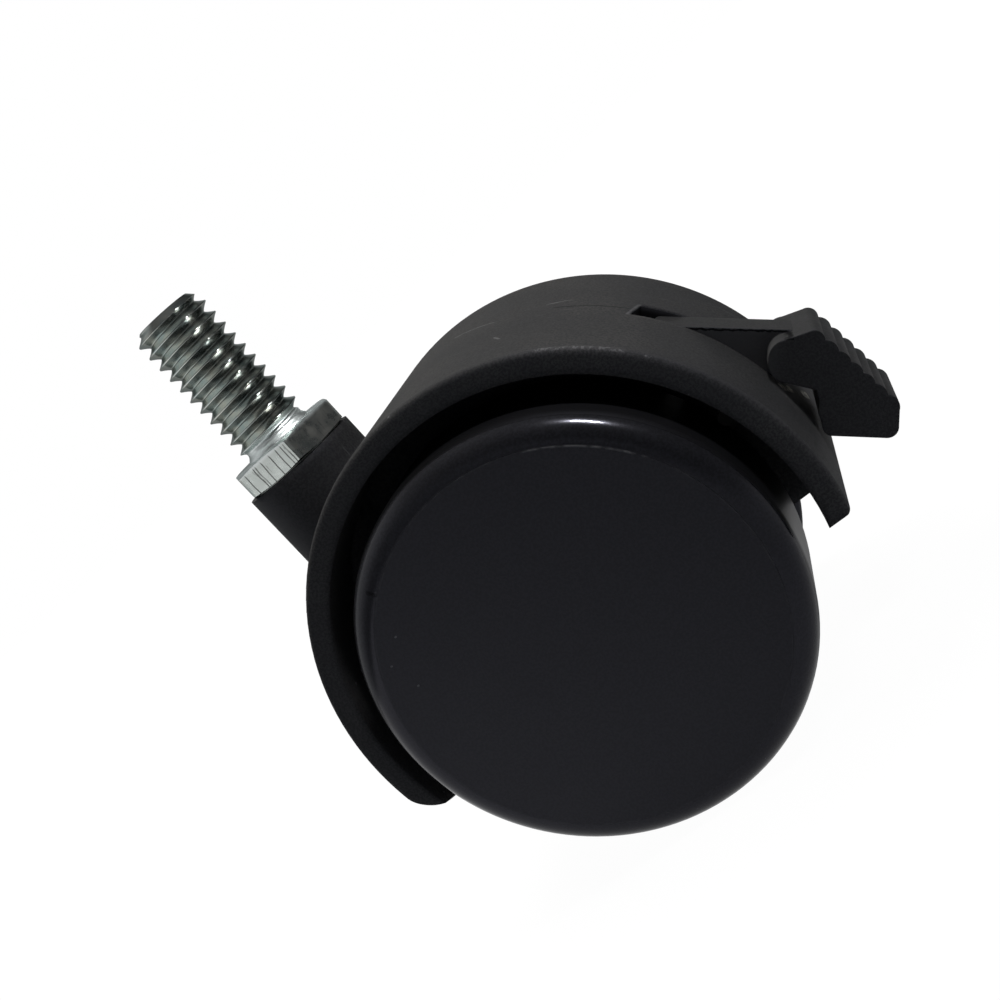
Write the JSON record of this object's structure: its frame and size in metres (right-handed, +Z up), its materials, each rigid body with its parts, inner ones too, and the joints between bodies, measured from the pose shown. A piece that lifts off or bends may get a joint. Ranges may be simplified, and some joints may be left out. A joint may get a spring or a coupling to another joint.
{
  "type": "threaded stem castor",
  "caption": "Hooded swivel castor for furniture, with smooth disc wheels, a zinc-plated threaded stem with hexagon collar and a ribbed foot-brake pedal.",
  "frame": {"origin": "on the stem axis, in the seat face of the hexagon collar that meets the furniture", "axes": "+Z up along the threaded stem, +X from the stem toward the wheel axle and the brake pedal, Y along the wheel axle"},
  "size_m": [0.0583, 0.0382, 0.0667],
  "materials": {
    "hood_plastic": "matt moulded black nylon, lightly scuffed",
    "wheel_plastic": "satin moulded black nylon with a polished shoulder",
    "lever_plastic": "satin moulded black nylon",
    "zinc_plate": "clear zinc plate over turned steel",
    "bright_steel": "bright drawn steel",
    "black_steel": "black oxide steel",
    "spring_steel": "oiled spring steel"
  },
  "bodies": {
    "stem": {"threaded_stem": "zinc_plate", "snap_ring": "spring_steel"},
    "housing": {"housing": "hood_plastic", "axle": "bright_steel", "lever_pin": "bright_steel"},
    "wheel_left": {"wheel_left": "wheel_plastic"},
    "wheel_right": {"wheel_right": "wheel_plastic"},
    "lever": {"brake_lever": "lever_plastic", "brake_bar": "black_steel"}
  },
  "joints": [
    {"name": "swivel", "type": "hinge", "parent": "stem", "child": "housing", "pos_m": [0, 0, -0.00285], "axis": [0, 0, 1], "continuous": true},
    {"name": "wheel_left_spin", "type": "hinge", "parent": "housing", "child": "wheel_left", "pos_m": [0.016, 0.01295, -0.02965], "axis": [0, 1, 0], "continuous": true},
    {"name": "wheel_right_spin", "type": "hinge", "parent": "housing", "child": "wheel_right", "pos_m": [0.016, -0.01295, -0.02965], "axis": [0, 1, 0], "continuous": true},
    {"name": "brake_release", "type": "hinge", "parent": "housing", "child": "lever", "pos_m": [0.03537, 0, -0.01989], "axis": [0, -1, 0], "range_deg": [0, 12]}
  ]
}
